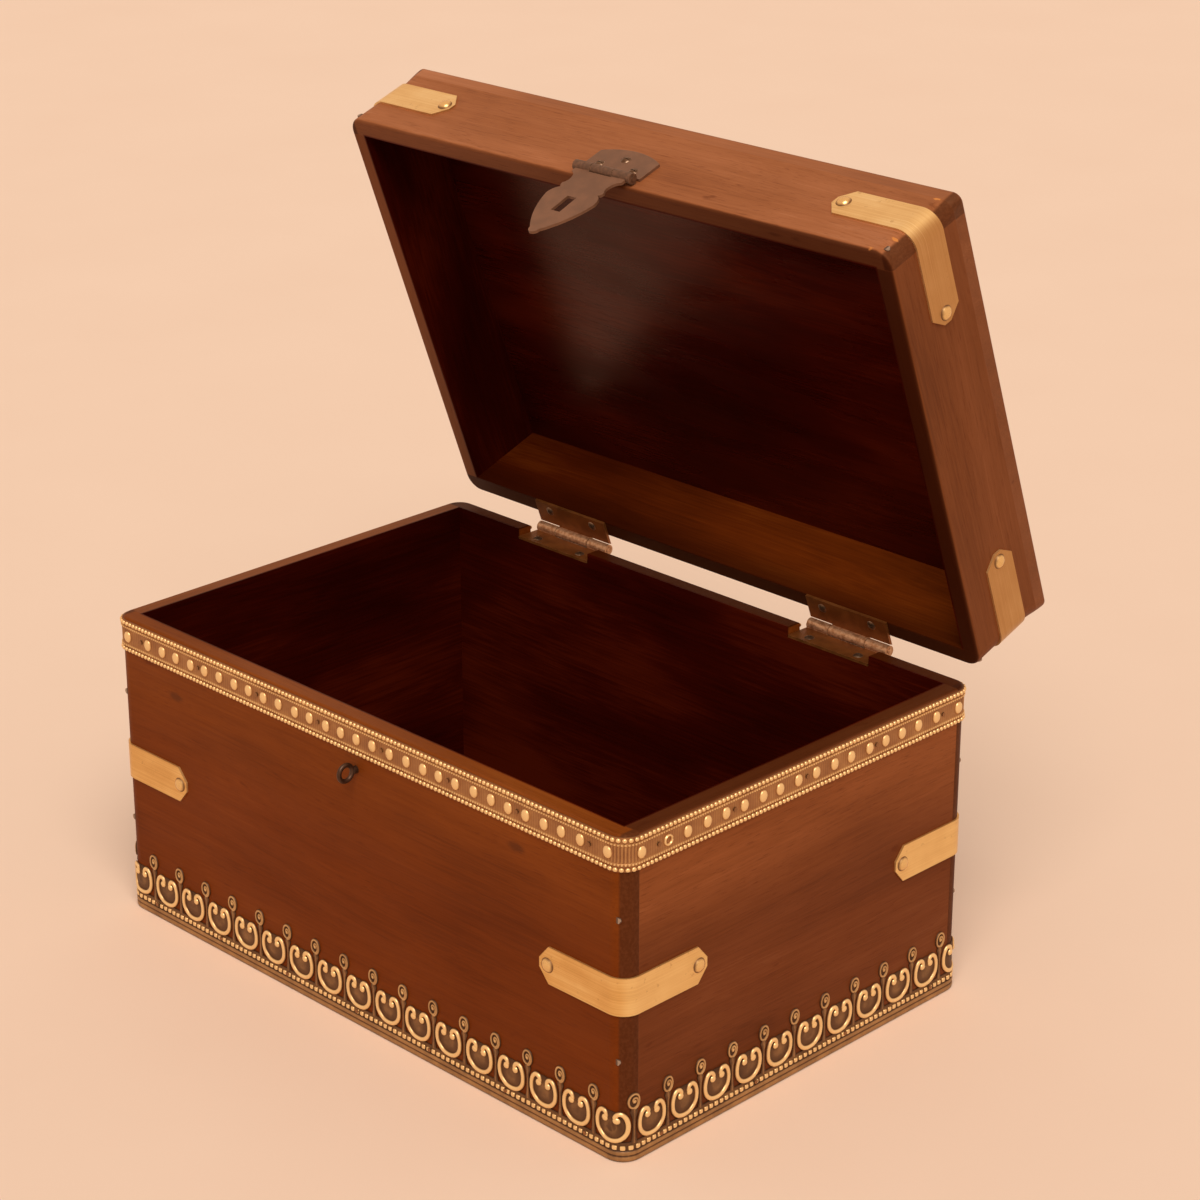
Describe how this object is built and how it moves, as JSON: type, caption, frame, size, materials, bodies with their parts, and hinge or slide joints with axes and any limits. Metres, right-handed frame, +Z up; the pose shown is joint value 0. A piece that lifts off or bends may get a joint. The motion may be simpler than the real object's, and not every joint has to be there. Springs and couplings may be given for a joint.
{
  "type": "wooden storage box",
  "caption": "Hinged wooden storage box with brass corner straps, a beaded band below the rim, a scrolled border at the foot, and a hasp and staple.",
  "frame": {"origin": "centre of the box's underside, on the surface it stands on", "axes": "+Z up, +X along the length to the right seen from the front, the front faces -Y; at rest the lid is open"},
  "size_m": [0.31, 0.2581, 0.3453],
  "materials": {
    "wood": "satin",
    "strap_brass": "brushed",
    "trim_brass": "antique",
    "dome_nails": "polished",
    "hinge_metal": "lacquered",
    "hasp_metal": "satin",
    "nail_steel": "worn"
  },
  "bodies": {
    "box": {"front_board": "wood", "back_board": "wood", "left_board": "wood", "right_board": "wood", "base_panel": "wood", "corner_nails": "nail_steel", "base_nails": "nail_steel", "beaded_band": "trim_brass", "band_pins": "trim_brass", "scroll_border": "trim_brass", "border_pins": "trim_brass", "front_left_corner_strap": "strap_brass", "front_right_corner_strap": "strap_brass", "back_left_corner_strap": "strap_brass", "back_right_corner_strap": "strap_brass", "corner_strap_nails": "dome_nails", "left_hinge_box_leaf": "hinge_metal", "right_hinge_box_leaf": "hinge_metal", "left_hinge_pin": "hinge_metal", "right_hinge_pin": "hinge_metal", "hinge_box_screws": "hinge_metal", "staple": "hasp_metal"},
    "lid": {"lid_front_board": "wood", "lid_back_board": "wood", "lid_left_board": "wood", "lid_right_board": "wood", "lid_top_panel": "wood", "lid_corner_nails": "nail_steel", "lid_top_nails": "nail_steel", "lid_front_left_strap": "strap_brass", "lid_front_right_strap": "strap_brass", "lid_back_left_strap": "strap_brass", "lid_back_right_strap": "strap_brass", "lid_strap_nails": "dome_nails", "left_hinge_lid_leaf": "hinge_metal", "right_hinge_lid_leaf": "hinge_metal", "hinge_lid_screws": "hinge_metal", "hasp_plate": "hasp_metal", "hasp_pin": "hasp_metal", "hasp_screws": "hinge_metal"},
    "hasp_strap": {"hasp_strap": "hasp_metal"}
  },
  "joints": [
    {"name": "lid_hinge", "type": "hinge", "parent": "box", "child": "lid", "pos_m": [0, 0.106, 0.1358], "axis": [-1, 0, 0], "range_deg": [-70, 110]},
    {"name": "hasp_hinge", "type": "hinge", "parent": "lid", "child": "hasp_strap", "pos_m": [0.003, 0.0394, 0.33397], "axis": [-1, 0, 0], "range_deg": [0, 170]}
  ]
}
